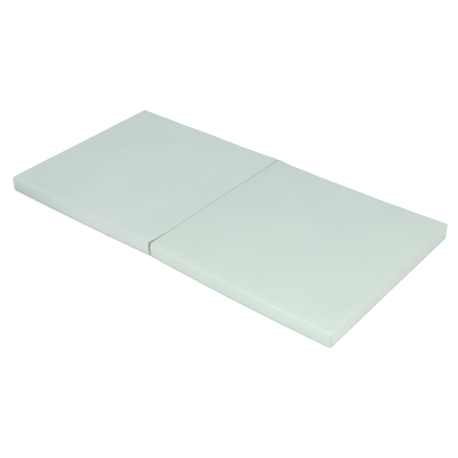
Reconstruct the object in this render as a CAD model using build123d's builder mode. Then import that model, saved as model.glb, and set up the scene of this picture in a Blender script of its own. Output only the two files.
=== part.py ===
"""Two-part folding mattress, 1200 x 600 x 50 mm, laid flat.

Frame: X runs along the length, with the head panel at -X and the foot panel at +X.
Y runs across the width, with the zips in the +Y walls. Z is up. The origin is on the
surface that the mattress rests on, midway along the fold line. All sizes are in mm.

Each panel is a foam block in a tight sewn cover. The covers are joined by a narrow strip
along the top of the fold, so the foot panel folds up and over on to the head panel.
"""

from build123d import *
import os

os.makedirs("parts", exist_ok=True)

# The whole mattress
LENGTH = 1200.0
WIDTH = 600.0
THICKNESS = 50.0
FOLD_GAP = 1.0  # between the two inner walls
CORNER_RADIUS = 9.0  # in plan, at the four outer corners
FOLD_CORNER_RADIUS = 6.0  # in plan, beside the fold
EDGE_RADIUS = 5.0  # rolled top and bottom edges
COVER = 0.9  # coated fabric with its backing
FOAM_CLEARANCE = 0.3  # between the cover and the foam
MITRE_REACH = 20.0  # how far a wall's corner cut runs into the panel

# The strip across the top of the fold
STRIP_WIDTH = 4.8
STRIP_THICKNESS = 0.6
STRIP_LENGTH = 588.0
STRIP_DROP = 0.25  # its top lies this far below the sleeping surface

# The zip, in the middle of the height of the +Y wall, at distances from the fold line
BACK = WIDTH / 2
ZIP_HEIGHT = THICKNESS / 2
ZIP_START = 33.0
ZIP_END = 567.0
SLOT_MARGIN = 3.0  # how far the slot runs past the zip at each end
SLOT_HALF = 6.5
TAPE_MARGIN = 11.0
TAPE_WIDTH = 14.0
TAPE_THICKNESS = 0.6
TAPE_EDGE = 0.7  # from the zip's middle line to the tape's edge
COIL_EDGE = 0.45
COIL_WIDTH = 2.6
COIL_HEIGHT = 1.4
STOP_LENGTH = 3.0
STOP_PROUD = 0.2  # a stop stands this much over the coil
RELIEF_MARGIN = 13.0
RELIEF_HALF = 16.0
RELIEF_DEPTH = 3.3  # cut into the foam behind the zip

# The slider
SLIDER_LENGTH = 11.0
SLIDER_WIDTH = 11.0
SLIDER_TAIL_WIDTH = 9.4
SLIDER_CORNER = 1.2
PLATE = 1.0
COIL_CLEARANCE = 0.4
FLANGE_WIDTH = 1.2
FLANGE_CLEARANCE = 0.4
BACK_PLATE_CLEARANCE = 0.4
WEB_LENGTH = 3.0  # divider between the two plates, at the leading end
WEB_THICKNESS = 0.5
SLIDER_END_CLEARANCE = 0.5
BRIDGE_LENGTH = 6.0
BRIDGE_WIDTH = 2.0
BRIDGE_WALL = 0.8
BRIDGE_OPENING = 1.6

# The pull tab, which turns on its own bar under the slider's bridge
PIVOT_HEIGHT = 0.7  # above the slider's front plate
BAR_RADIUS = 0.5
ARM_GAP = 1.3  # from the middle line to each arm
ARM_WIDTH = 1.2
TAB_START = 3.8
TAB_LENGTH = 24.0
TAB_THICKNESS = 1.0
TAB_HOLE_RADIUS = 1.3

# Levels worked out from the sizes above, measured along Y from the middle
TAPE_FACE = BACK - COVER
TAPE_BACK = TAPE_FACE - TAPE_THICKNESS
COIL_TOP = TAPE_FACE + COIL_HEIGHT
PLATE_BOTTOM = COIL_TOP + COIL_CLEARANCE
PLATE_TOP = PLATE_BOTTOM + PLATE
BACK_PLATE_TOP = TAPE_BACK - BACK_PLATE_CLEARANCE
PIVOT_Y = PLATE_TOP + PIVOT_HEIGHT
SLIDER_X = ZIP_END - STOP_LENGTH - SLIDER_END_CLEARANCE - SLIDER_LENGTH / 2

PANELS = {"head": -1, "foot": 1}


def write(piece, name):
    """Label one finished piece and write it to its own file."""
    piece.part.label = name
    export_step(piece.part, f"parts/{name}.step")


def rounded_slab(side, inset):
    """A panel's outer shape with rolled edges, drawn in all round by inset."""
    near = side * (FOLD_GAP / 2 + inset)
    far = side * (LENGTH / 2 - inset)
    with BuildPart() as slab:
        with BuildSketch(Plane.XY.offset(inset)) as plan:
            with Locations(((near + far) / 2, 0)):
                Rectangle(abs(far - near), WIDTH - 2 * inset)
            outer_end, fold_end = (-1, 0) if side > 0 else (0, -1)
            fillet(plan.vertices().group_by(Axis.X)[outer_end], CORNER_RADIUS - inset)
            fillet(plan.vertices().group_by(Axis.X)[fold_end], FOLD_CORNER_RADIUS - inset)
        extrude(amount=THICKNESS - 2 * inset)
        flat_faces = slab.faces().filter_by(Axis.Z)
        fillet(flat_faces.edges(), EDGE_RADIUS - inset)
    return slab.part


def zip_strip_sketch(side, start, end, low, high):
    """A rectangle on the zip's wall, from start to end along it and from low to high."""
    with Locations((side * (start + end) / 2, (low + high) / 2)):
        Rectangle(end - start, high - low)


def make_foam_core(panel, side):
    """The foam block, with a shallow relief behind the zip."""
    inset = COVER + FOAM_CLEARANCE
    foam_face = BACK - inset
    block = rounded_slab(side, inset)
    with BuildPart() as foam_core:
        add(block)
        with BuildSketch(Plane.XZ.offset(-foam_face)):
            zip_strip_sketch(
                side,
                ZIP_START - RELIEF_MARGIN,
                ZIP_END + RELIEF_MARGIN,
                ZIP_HEIGHT - RELIEF_HALF,
                ZIP_HEIGHT + RELIEF_HALF,
            )
        extrude(amount=RELIEF_DEPTH, mode=Mode.SUBTRACT)
    write(foam_core, f"{panel}_foam_core")


def make_face_cover(panel, side, name, low):
    """The top or underside sheet, with the rolled edge that turns down to the walls."""
    outside = rounded_slab(side, 0)
    inside = rounded_slab(side, COVER)
    with BuildPart() as face_cover:
        add(outside)
        add(inside, mode=Mode.SUBTRACT)
        with BuildSketch(Plane.XY.offset(low)):
            with Locations((side * LENGTH / 4, 0)):
                Rectangle(LENGTH / 2, WIDTH)
        extrude(amount=EDGE_RADIUS, mode=Mode.INTERSECT)
    write(face_cover, f"{panel}_{name}")


def long_wall_outline(side, across):
    """In plan, the ground of a wall along X, mitred at both ends; across is -1 or 1 in Y."""
    near = side * FOLD_GAP / 2
    far = side * LENGTH / 2
    edge = across * WIDTH / 2
    reach = MITRE_REACH
    return [
        (near - side * reach, edge + across * reach),
        (far + side * reach, edge + across * reach),
        (far - side * reach, edge - across * reach),
        (near + side * reach, edge - across * reach),
    ]


def cross_wall_outline(side, line, outward):
    """In plan, the ground of a wall along Y at X = line, mitred at both ends."""
    reach = MITRE_REACH
    return [
        (line + outward * reach, -WIDTH / 2 - reach),
        (line + outward * reach, WIDTH / 2 + reach),
        (line - outward * reach, WIDTH / 2 - reach),
        (line - outward * reach, -WIDTH / 2 + reach),
    ]


def make_wall(panel, side, name, outline):
    """One side wall of the cover, sewn to its neighbours at the corners."""
    outside = rounded_slab(side, 0)
    inside = rounded_slab(side, COVER)
    with BuildPart() as wall:
        add(outside)
        add(inside, mode=Mode.SUBTRACT)
        with BuildSketch(Plane.XY.offset(EDGE_RADIUS)):
            Polygon(*outline, align=None)
        extrude(amount=THICKNESS - 2 * EDGE_RADIUS, mode=Mode.INTERSECT)
    write(wall, f"{panel}_{name}")


def make_zip_wall(panel, side, name, low, high):
    """The upper or lower half of the zip's wall, with its half of the slot cut out."""
    outside = rounded_slab(side, 0)
    inside = rounded_slab(side, COVER)
    with BuildPart() as zip_wall:
        add(outside)
        add(inside, mode=Mode.SUBTRACT)
        with BuildSketch(Plane.XY.offset(low)):
            Polygon(*long_wall_outline(side, 1), align=None)
        extrude(amount=high - low, mode=Mode.INTERSECT)
        with BuildSketch(Plane.XZ.offset(-BACK)):
            zip_strip_sketch(
                side,
                ZIP_START - SLOT_MARGIN,
                ZIP_END + SLOT_MARGIN,
                ZIP_HEIGHT - SLOT_HALF,
                ZIP_HEIGHT + SLOT_HALF,
            )
        extrude(amount=2 * COVER, mode=Mode.SUBTRACT)
    write(zip_wall, f"{panel}_{name}")


def make_zip_tape(panel, side, name, up):
    """One of the zip's two woven tapes, flat against the inside of the wall."""
    inner = ZIP_HEIGHT + up * TAPE_EDGE
    outer = ZIP_HEIGHT + up * (TAPE_EDGE + TAPE_WIDTH)
    with BuildPart() as zip_tape:
        with BuildSketch(Plane.XZ.offset(-TAPE_BACK)):
            zip_strip_sketch(
                side,
                ZIP_START - TAPE_MARGIN,
                ZIP_END + TAPE_MARGIN,
                min(inner, outer),
                max(inner, outer),
            )
        extrude(amount=-TAPE_THICKNESS)
    write(zip_tape, f"{panel}_{name}")


def make_zip_coil(panel, side, name, up):
    """One of the zip's two nylon coils, as the bar that its turns fill."""
    inner = ZIP_HEIGHT + up * COIL_EDGE
    outer = ZIP_HEIGHT + up * (COIL_EDGE + COIL_WIDTH)
    with BuildPart() as zip_coil:
        with BuildSketch(Plane.XZ.offset(-TAPE_FACE)):
            zip_strip_sketch(
                side,
                ZIP_START + STOP_LENGTH,
                ZIP_END - STOP_LENGTH,
                min(inner, outer),
                max(inner, outer),
            )
        extrude(amount=-COIL_HEIGHT)
        outer_edges = zip_coil.faces().sort_by(Axis.Y)[-1].edges().filter_by(Axis.X)
        fillet(outer_edges, COIL_HEIGHT / 3)
    write(zip_coil, f"{panel}_{name}")


def make_zip_end_stops(panel, side):
    """A stop on each coil where the zip closes, and one across both where it opens."""
    reach = COIL_EDGE + COIL_WIDTH + STOP_PROUD
    with BuildPart() as stops:
        with BuildSketch(Plane.XZ.offset(-TAPE_FACE)):
            zip_strip_sketch(
                side,
                ZIP_START,
                ZIP_START + STOP_LENGTH,
                ZIP_HEIGHT - reach,
                ZIP_HEIGHT + reach,
            )
            for up in (-1, 1):
                ends = sorted((ZIP_HEIGHT + up * COIL_EDGE, ZIP_HEIGHT + up * reach))
                zip_strip_sketch(side, ZIP_END - STOP_LENGTH, ZIP_END, *ends)
        extrude(amount=-(COIL_HEIGHT + STOP_PROUD))
    write(stops, f"{panel}_zip_end_stops")


def slider_outline(side):
    """A slider plate's corners: wide where the two coils come in, narrow behind."""
    lead = side * (SLIDER_X + SLIDER_LENGTH / 2)
    tail = side * (SLIDER_X - SLIDER_LENGTH / 2)
    return [
        (lead, ZIP_HEIGHT - SLIDER_WIDTH / 2),
        (lead, ZIP_HEIGHT + SLIDER_WIDTH / 2),
        (side * SLIDER_X, ZIP_HEIGHT + SLIDER_WIDTH / 2),
        (tail, ZIP_HEIGHT + SLIDER_TAIL_WIDTH / 2),
        (tail, ZIP_HEIGHT - SLIDER_TAIL_WIDTH / 2),
        (side * SLIDER_X, ZIP_HEIGHT - SLIDER_WIDTH / 2),
    ]


def make_zip_slider(panel, side):
    """Front and back plates, the divider that joins them, side flanges and the bridge."""
    middle = side * SLIDER_X
    lead = side * (SLIDER_X + SLIDER_LENGTH / 2)
    flange_start = TAPE_FACE + FLANGE_CLEARANCE
    inner_half = SLIDER_TAIL_WIDTH / 2 - FLANGE_WIDTH
    with BuildPart() as slider:
        with BuildSketch(Plane.XZ.offset(-PLATE_BOTTOM)) as front:
            Polygon(*slider_outline(side), align=None)
            fillet(front.vertices(), SLIDER_CORNER)
        extrude(amount=-PLATE)
        with BuildSketch(Plane.XZ.offset(-BACK_PLATE_TOP)) as back:
            Polygon(*slider_outline(side), align=None)
            fillet(back.vertices(), SLIDER_CORNER)
        extrude(amount=PLATE)
        with BuildSketch(Plane.XZ.offset(-flange_start)) as flanges:
            Polygon(*slider_outline(side), align=None)
            fillet(flanges.vertices(), SLIDER_CORNER)
            with Locations((middle, ZIP_HEIGHT)):
                Rectangle(SLIDER_LENGTH, 2 * inner_half, mode=Mode.SUBTRACT)
        extrude(amount=-(PLATE_BOTTOM - flange_start))
        with BuildSketch(Plane.XZ.offset(-BACK_PLATE_TOP)):
            with Locations((lead - side * WEB_LENGTH / 2, ZIP_HEIGHT)):
                Rectangle(WEB_LENGTH, WEB_THICKNESS)
        extrude(amount=-(PLATE_BOTTOM - BACK_PLATE_TOP))
        with BuildSketch(Plane.XY.offset(ZIP_HEIGHT - BRIDGE_WIDTH / 2)):
            bridge_height = BRIDGE_OPENING + BRIDGE_WALL
            with Locations((middle, PLATE_TOP + bridge_height / 2)):
                Rectangle(BRIDGE_LENGTH, bridge_height)
            with Locations((middle, PLATE_TOP + BRIDGE_OPENING / 2)):
                Rectangle(BRIDGE_LENGTH - 2 * BRIDGE_WALL, BRIDGE_OPENING, mode=Mode.SUBTRACT)
        extrude(amount=BRIDGE_WIDTH)
    write(slider, f"{panel}_zip_slider")


def make_zip_pull_tab(panel, side):
    """A flat tab with two arms and a round bar, lying back along the closed zip."""
    pivot = side * SLIDER_X
    back = -side  # the tab lies towards the fold
    half = ARM_GAP + ARM_WIDTH
    with BuildPart() as tab:
        with BuildSketch(Plane.XZ.offset(-(PIVOT_Y - TAB_THICKNESS / 2))) as flat:
            with Locations((pivot + back * (TAB_START + TAB_LENGTH) / 2, ZIP_HEIGHT)):
                Rectangle(TAB_LENGTH - TAB_START, 2 * half)
            tip = flat.vertices().group_by(Axis.X)[0 if back < 0 else -1]
            fillet(tip, half * 0.8)
            for up in (-1, 1):
                arm_middle = ZIP_HEIGHT + up * (ARM_GAP + ARM_WIDTH / 2)
                with Locations((pivot + back * TAB_START / 2, arm_middle)):
                    Rectangle(TAB_START, ARM_WIDTH)
            with Locations((pivot + back * (TAB_LENGTH - half), ZIP_HEIGHT)):
                Circle(TAB_HOLE_RADIUS, mode=Mode.SUBTRACT)
        extrude(amount=-TAB_THICKNESS)
        with BuildSketch(Plane.XY.offset(ZIP_HEIGHT - half)):
            with Locations((pivot, PIVOT_Y)):
                Circle(BAR_RADIUS)
        extrude(amount=2 * half)
    write(tab, f"{panel}_zip_pull_tab")


def make_hinge_strip():
    """The strip that joins the two covers, lying in the valley between their top edges."""
    low = THICKNESS - STRIP_DROP - STRIP_THICKNESS
    with BuildPart() as strip:
        with BuildSketch(Plane.XY.offset(low)):
            Rectangle(STRIP_WIDTH, STRIP_LENGTH)
        extrude(amount=STRIP_THICKNESS)
    write(strip, "hinge_strip")


def make_panel(panel, side):
    """Everything that belongs to one half of the mattress."""
    make_foam_core(panel, side)
    make_face_cover(panel, side, "top_cover", THICKNESS - EDGE_RADIUS)
    make_face_cover(panel, side, "underside_cover", 0)
    make_wall(panel, side, "front_wall", long_wall_outline(side, -1))
    make_wall(panel, side, "end_wall", cross_wall_outline(side, side * LENGTH / 2, side))
    make_wall(panel, side, "inner_wall", cross_wall_outline(side, side * FOLD_GAP / 2, -side))
    make_zip_wall(panel, side, "back_wall_upper", ZIP_HEIGHT, THICKNESS - EDGE_RADIUS)
    make_zip_wall(panel, side, "back_wall_lower", EDGE_RADIUS, ZIP_HEIGHT)
    for name, up in (("upper", 1), ("lower", -1)):
        make_zip_tape(panel, side, f"zip_tape_{name}", up)
        make_zip_coil(panel, side, f"zip_coil_{name}", up)
    make_zip_end_stops(panel, side)
    make_zip_slider(panel, side)
    make_zip_pull_tab(panel, side)


for panel_name, panel_side in PANELS.items():
    make_panel(panel_name, panel_side)
make_hinge_strip()
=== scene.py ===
"""Looks for the two-part folding mattress: sewn, coated covers over foam, and two zips.

Everything is in metres in the CAD frame: X along the length with the fold at X = 0,
Y across the width with the zips in the +Y walls, Z up from the floor. A panel's skin is
made in the panel's own frame, which both panels share: distance from the fold wall, distance
from the front wall, and height. In the panel functions those three are along, across and z.
"""

import math

import bmesh
import bpy
import numpy as np
from mathutils import Matrix, Vector


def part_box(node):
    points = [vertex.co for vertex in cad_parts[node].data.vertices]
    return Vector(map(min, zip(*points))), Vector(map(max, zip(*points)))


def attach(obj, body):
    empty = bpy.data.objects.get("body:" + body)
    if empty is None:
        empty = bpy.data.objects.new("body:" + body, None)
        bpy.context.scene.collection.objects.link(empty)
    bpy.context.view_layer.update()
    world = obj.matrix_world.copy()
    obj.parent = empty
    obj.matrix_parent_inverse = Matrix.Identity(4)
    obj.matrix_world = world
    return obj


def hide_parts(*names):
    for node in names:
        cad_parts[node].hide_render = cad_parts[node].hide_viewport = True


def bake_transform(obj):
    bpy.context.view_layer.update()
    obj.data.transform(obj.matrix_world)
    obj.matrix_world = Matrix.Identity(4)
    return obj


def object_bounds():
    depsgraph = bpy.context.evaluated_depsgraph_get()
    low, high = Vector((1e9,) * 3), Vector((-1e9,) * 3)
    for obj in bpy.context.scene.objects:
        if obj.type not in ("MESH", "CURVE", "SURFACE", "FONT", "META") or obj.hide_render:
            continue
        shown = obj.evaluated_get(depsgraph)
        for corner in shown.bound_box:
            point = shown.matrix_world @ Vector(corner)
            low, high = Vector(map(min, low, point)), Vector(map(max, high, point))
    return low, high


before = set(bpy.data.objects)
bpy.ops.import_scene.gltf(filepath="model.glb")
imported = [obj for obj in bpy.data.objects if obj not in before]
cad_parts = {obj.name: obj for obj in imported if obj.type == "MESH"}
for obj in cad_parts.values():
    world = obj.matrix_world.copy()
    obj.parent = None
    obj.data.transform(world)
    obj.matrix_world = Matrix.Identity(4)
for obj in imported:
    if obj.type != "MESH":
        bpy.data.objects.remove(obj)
cad_low, cad_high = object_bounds()

MM = 0.001
PANELS = {"head": -1, "foot": 1}  # and the side of the fold that each lies on

# The skin of a panel, before its fabric swells
PLAN_RADIUS = {"fold": 3.2 * MM, "end": 8.0 * MM}
LEAST_PLAN_RADIUS = 0.3 * MM
TOP_RADIUS = 5.2 * MM
UNDER_RADIUS = 6.0 * MM
MOST_ROLLED = 0.9  # of the height beside a seam that a rolled edge may take
SEAM_BELOW_TOP = 6.0 * MM
FOLD_SEAM_BELOW_TOP = 1.4 * MM  # at the fold, where the hinge strip is sewn in
SEAM_CLIMB = 45.0 * MM  # the top seam climbs to there over this length
SEAM_ABOVE_FLOOR = 7.0 * MM
RIM_ZONE = 10.0 * MM  # the band beside each edge that has lines of its own
EDGE_STEPS = (0.0, 0.2, 0.42, 0.68)  # shares of that band, at the outer edges
FOLD_STEPS = (0.0, 0.07, 0.16, 0.32, 0.62)  # and at the fold
CELL = 6.2 * MM
SLOT_HALF = 6.5 * MM

# How the fabric swells and puckers
CROWN = 0.6 * MM
CROWN_FROM_FOLD = 40.0 * MM
SWELL = {"top": CROWN, "under": 0.0, "fold": 0.25 * MM, "end": 2.0 * MM}
SWELL |= {"front": 1.8 * MM, "back": 0.3 * MM}
LEAST_SWELL = 0.02 * MM
CLOTH_FRAMES = 18
PUCKER = 0.32 * MM
PUCKER_REACH = 9.0 * MM
PUCKER_SEED = {"head": 11, "foot": 47}
PUCKER_WAVES = (11 * MM, 46 * MM, 9)  # shortest, longest, and how many
PATCH_SEED = 5  # where the puckers are strong and weak
PATCH_WAVES = (90 * MM, 260 * MM, 4)
PATCHINESS = 0.45
ROLLING = 0.30 * MM  # long, low unevenness of the sleeping surface
ROLLING_SEED = 20
ROLLING_TURNS = (0.3, 1.25, 2.2, 2.9)  # the directions that it runs in, in radians
ROLLING_WAVES = (90 * MM, 330 * MM, 3)

# How far the edges and corners stand from a plain box: a positive number is outward
FRONT_BOW = {"head": 3.0 * MM, "foot": 5.0 * MM}
FRONT_AT_FOLD = -5.5 * MM
FRONT_AT_END = {"head": 2.5 * MM, "foot": 0.0}
FRONT_DROP = 2.5 * MM  # how far the top falls away towards the front edge
BACK_BOW = {"head": 0.0, "foot": 3.5 * MM}  # inward, at the middle
BACK_DIP = {"head": 0.0, "foot": 1.2 * MM}
BACK_OUT = {"head": 5.6 * MM, "foot": 4.0 * MM}
BACK_EAR = {"head": -1.6 * MM, "foot": 2.4 * MM}  # the corner at the fold's back end
END_OUT = {"head": 0.8 * MM, "foot": 2.4 * MM}
END_SKEW = {"head": 4.2 * MM, "foot": 1.8 * MM}  # how much further out the end is at the back
FOLD_SHIFT = {"head": -7.0 * MM, "foot": 6.2 * MM}  # towards the fold, at its front end
FRONT_PART = {"head": 4.2 * MM, "foot": 0.4 * MM}  # how far the two front corners part
BACK_PART = {"head": 2.0 * MM, "foot": 0.4 * MM}  # and the two back corners

# How far each of those reaches into the panel
REACH = {"front_bow": 150 * MM, "front_drop": 40 * MM, "back_bow": 60 * MM, "back_ear": 11 * MM}
REACH |= {"end_out": 80 * MM, "end_skew": 25 * MM, "fold_wall": 12 * MM}
REACH |= {"fold_shift": 35 * MM, "front_part": 30 * MM, "back_part": 10 * MM}

# Bands of the height, as shares of it: where each starts, and how tall it is
UPPER_BAND = (0.68, 0.24)
ROLLING_BAND = (0.90, 0.06)
FOLD_SHADE_BAND = (0.88, 0.10)
ABOVE_CORNER_BAND = (0.78, 0.10)

# How strongly each place on the covers gets painted shade, and how far it reaches: darker at the
# foot of the walls, along the head's front, in the upright corners and beside the fold
PAINTED_SHADE_STRENGTH = {"head_front": 0.55, "head_end": 0.15, "corners": 0.42, "beside_fold": 0.16}
PAINTED_SHADE_STRENGTH |= {"foot_walls": 0.05, "foot_front": 0.17, "foot_end": 0.15}
PAINTED_SHADE_REACH = {"head_front": 200 * MM, "corners": 3 * MM, "beside_fold": 170 * MM}
PAINTED_SHADE_AT_FRONT = 0.4  # of the painted shade beside the fold
CORNER_BEND = 2.3 * MM  # from the middle of an upright corner to both walls' planes

# The other marks: painted light along the front and end rims, the head painted lighter and greyer,
# seams darker with dust and painted shade, rubbed rims painted darker, and painted shade in the gap
RIM_LIGHT_REACH = 38 * MM
END_RIM_LIGHT = 0.5  # of the front edge's painted light
RIM_LIGHT_AT_FLOOR = 0.4  # of the painted light at the top
LIT_AND_GREYED_AT = 220 * MM  # from the fold
LIT_AND_GREYED_REACH = 150 * MM
SEAM_DARKENING_REACH = 2.5 * MM
FOLD_GROOVE_SHADE_REACH = 1.5 * MM
FOLD_GROOVE_SHADE_DEPTH = 3 * MM
RUB_AND_SHADE_AT = 2 * MM  # in from the panel's outline
RUB_AND_SHADE_REACH = 3 * MM
RUB_AND_SHADE_DEPTH = 4 * MM
GAP_FROM = 0.5 * MM  # from the fold wall, as far as the painted shade in the gap is darkest
GAP_REACH = 0.8 * MM
GAP_END_REACH = 40 * MM  # from both ends of the fold

# How the covers are sewn
CREASE = 0.12 * MM
HEM = 2.2 * MM
HEM_STEPS = ((0.5 * MM, 0.05 * MM), (HEM, 0.12 * MM))  # how far in, and how far under the piece
CLOTH_THICKNESS = 0.6 * MM
FOAM_INSET = 3.2 * MM


# ------------ small helpers


def new_object(name, vertices, faces):
    mesh = bpy.data.meshes.new(name)
    mesh.from_pydata([tuple(v) for v in vertices], [], [tuple(f) for f in faces])
    mesh.update()
    piece = bpy.data.objects.new(name, mesh)
    bpy.context.scene.collection.objects.link(piece)
    return piece


def face_outward(piece):
    made = bmesh.new()
    made.from_mesh(piece.data)
    bmesh.ops.recalc_face_normals(made, faces=made.faces)
    made.to_mesh(piece.data)
    made.free()
    return piece


def smooth(piece):
    for polygon in piece.data.polygons:
        polygon.use_smooth = True
    return piece


def coordinates(mesh):
    flat = np.empty(len(mesh.vertices) * 3)
    mesh.vertices.foreach_get("co", flat)
    return flat.reshape(-1, 3)


def normals(mesh):
    flat = np.empty(len(mesh.vertices) * 3)
    mesh.vertex_normals.foreach_get("vector", flat)
    return flat.reshape(-1, 3)


def set_coordinates(mesh, points):
    mesh.vertices.foreach_set("co", np.asarray(points, np.float32).ravel())
    mesh.update()


def apply_modifiers(piece):
    """Replaces the piece's mesh by what its modifiers make of it now."""
    graph = bpy.context.evaluated_depsgraph_get()
    made = bpy.data.meshes.new_from_object(piece.evaluated_get(graph))
    piece.modifiers.clear()
    piece.data = made


def thicken(piece, thickness, offset):
    thick = piece.modifiers.new("thickness", "SOLIDIFY")
    thick.thickness = thickness
    thick.offset = offset
    apply_modifiers(piece)


def waves(seed, shortest, longest, count):
    """A fixed set of random sines: lengths, phases and strengths that add up to about 1."""
    rng = np.random.default_rng(seed)
    lengths = np.exp(rng.uniform(math.log(shortest), math.log(longest), count))
    phases = rng.uniform(0, 2 * math.pi, count)
    strengths = rng.uniform(0.5, 1.0, count)
    return lengths, phases, strengths / math.sqrt((strengths**2).sum() / 2)


def ripple(positions, kinds):
    lengths, phases, strengths = kinds
    turns = 2 * math.pi * positions[:, None] / lengths + phases
    return (np.sin(turns) * strengths).sum(1)


def fading(distance, reach):
    """1 at no distance, and less by a factor of e at each reach."""
    return np.exp(-distance / reach)


def rising(level, start, rise):
    """0 up to the start of a band, and 1 from its top."""
    return np.clip((level - start) / rise, 0, 1)


# ------------ a panel's skin


def axis_lines(length, near_steps):
    """The grid's lines along one axis: (which end, share of the rim band, distance from it)."""
    count = round((length - 2 * RIM_ZONE) / CELL)
    middle = np.linspace(RIM_ZONE, length - RIM_ZONE, count + 1)
    lines = [(0, share, share * RIM_ZONE) for share in near_steps]
    lines += [(0, 1.0, p) if p < length / 2 else (1, 1.0, length - p) for p in middle]
    return lines + [(1, share, share * RIM_ZONE) for share in reversed(EDGE_STEPS)]


def top_seam(along):
    """How far below the top its seam runs, at this distance from the fold wall."""
    share = min(max((along - RIM_ZONE) / SEAM_CLIMB, 0), 1)
    share = share * share * (3 - 2 * share)
    return FOLD_SEAM_BELOW_TOP + (SEAM_BELOW_TOP - FOLD_SEAM_BELOW_TOP) * share


def under_seam(along):
    """How far above the floor its seam runs: the same all along."""
    return SEAM_ABOVE_FLOOR


def roll(share, radius, seam):
    """Inset in plan and fall in height at this share of the way from the seam over the edge."""
    radius = min(radius, MOST_ROLLED * seam)
    straight = seam - radius
    quarter = radius * math.pi / 2
    path = share * (straight + quarter + RIM_ZONE - radius)
    if path < straight:
        return 0.0, seam - path
    if path < straight + quarter:
        turn = (path - straight) / radius
        return radius * (1 - math.cos(turn)), radius * (1 - math.sin(turn))
    return radius + path - straight - quarter, 0.0


def rounded_corner(share_u, share_v, radius, seam, plan_radius):
    """Insets from both edges, and the fall, of a grid point in a corner of the rim band."""
    share = min(share_u, share_v)
    inset, fall = roll(share, radius, seam)
    u = inset + (RIM_ZONE - inset) * (share_u - share) / (1 - share)
    v = inset + (RIM_ZONE - inset) * (share_v - share) / (1 - share)
    centre = inset + max(plan_radius - inset, LEAST_PLAN_RADIUS)
    reach_u, reach_v = max(centre - u, 0), max(centre - v, 0)
    length = math.hypot(reach_u, reach_v)
    if length > 0:
        scale = max(reach_u, reach_v) / length
        u = centre - reach_u * scale if reach_u > 0 else u
        v = centre - reach_v * scale if reach_v > 0 else v
    return u, v, fall


def tray(along_lines, across_lines, length, width, radius, seam_at):
    """The grid of one face and its rolled edges: along, across and fall, one row per along line."""
    points = np.zeros((len(along_lines), len(across_lines), 3))
    for i, (far_end, share_u, place_u) in enumerate(along_lines):
        along = length - place_u if far_end else place_u
        for j, (far_side, share_v, place_v) in enumerate(across_lines):
            u, v, fall = place_u, place_v, 0.0
            if share_u < 1 and share_v < 1:
                plan_radius = PLAN_RADIUS["end" if far_end else "fold"]
                u, v, fall = rounded_corner(share_u, share_v, radius, seam_at(along), plan_radius)
            elif share_u < 1:
                u, fall = roll(share_u, radius, seam_at(along))
            elif share_v < 1:
                v, fall = roll(share_v, radius, seam_at(along))
            points[i, j] = length - u if far_end else u, width - v if far_side else v, fall
    return points


REGIONS = ("top", "under", "front", "end", "inner", "back_upper", "back_lower", "slot")


def panel_size(panel):
    """(side of the fold, distance of the inner wall from it, length, width, height)"""
    low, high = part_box(f"{panel}_top_cover")
    near = min(abs(low.x), abs(high.x))
    length = max(abs(low.x), abs(high.x)) - near
    return PANELS[panel], near, length, high.y - low.y, high.z


def wall_levels(height):
    """The heights of the lines round the walls: the middle three are the zip slot's."""
    middle = height / 2
    slot = [middle - SLOT_HALF, middle, middle + SLOT_HALF]
    below = (SEAM_ABOVE_FLOOR + slot[0]) / 2
    above = (height - SEAM_BELOW_TOP + slot[-1]) / 2
    return [below, *slot, above]


def back_region(band, in_slot):
    """The region of a face of the back wall, whose bands are counted up from the under seam."""
    if in_slot and band in (2, 3):
        return "slot"
    return "back_lower" if band < 3 else "back_upper"


def skin(panel):
    """The panel's closed skin: points in the panel's frame, faces, and each face's region."""
    _, _, length, width, height = panel_size(panel)
    along_lines, across_lines = axis_lines(length, FOLD_STEPS), axis_lines(width, EDGE_STEPS)
    top = tray(along_lines, across_lines, length, width, TOP_RADIUS, top_seam)
    under = tray(along_lines, across_lines, length, width, UNDER_RADIUS, under_seam)
    top[:, :, 2] = height - top[:, :, 2]
    rows, columns = top.shape[:2]
    points = [top.reshape(-1, 3), under.reshape(-1, 3)]
    top_id = np.arange(rows * columns).reshape(rows, columns)
    under_id = top_id + rows * columns
    faces, regions = [], []
    for ids, region in ((top_id, "top"), (under_id, "under")):
        for i in range(rows - 1):
            for j in range(columns - 1):
                faces.append((ids[i, j], ids[i + 1, j], ids[i + 1, j + 1], ids[i, j + 1]))
                regions.append(region)
    rim = [(i, 0) for i in range(rows - 1)]
    rim += [(rows - 1, j) for j in range(columns - 1)]
    rim += [(i, columns - 1) for i in range(rows - 1, 0, -1)]
    rim += [(0, j) for j in range(columns - 1, 0, -1)]
    walls = ["front"] * (rows - 1) + ["end"] * (columns - 1)
    walls += ["back"] * (rows - 1) + ["inner"] * (columns - 1)
    rings = [[under_id[i, j] for i, j in rim]]
    total = 2 * rows * columns
    for level in wall_levels(height):
        ring = np.array([top[i, j] for i, j in rim])
        ring[:, 2] = level
        points.append(ring)
        rings.append(list(range(total, total + len(rim))))
        total += len(rim)
    rings.append([top_id[i, j] for i, j in rim])
    slot_start, slot_end = slot_ends(panel)
    for k, wall in enumerate(walls):
        after = (k + 1) % len(rim)
        place = [top[rim[m]][0] for m in (k, after)]
        in_slot = min(place) > slot_start and max(place) < slot_end
        for band, (lower, upper) in enumerate(zip(rings, rings[1:])):
            faces.append((lower[k], lower[after], upper[after], upper[k]))
            regions.append(back_region(band, in_slot) if wall == "back" else wall)
    return np.concatenate(points), faces, regions


def slot_ends(panel):
    """How far from the fold wall the zip's slot starts and ends, with a cell to spare."""
    _, near, _, _, _ = panel_size(panel)
    low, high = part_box(f"{panel}_zip_end_stops")
    start, end = sorted((abs(low.x), abs(high.x)))
    return start - near - CELL, end - near + CELL


def from_fold(along):
    return 1 - np.exp(-np.maximum(along, 0) / CROWN_FROM_FOLD)


def crowned(points, height):
    """Lets the skin down in proportion to its height, so that it can swell up to that height."""
    points[:, 2] -= points[:, 2] / height * CROWN * from_fold(points[:, 0])
    return points


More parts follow.
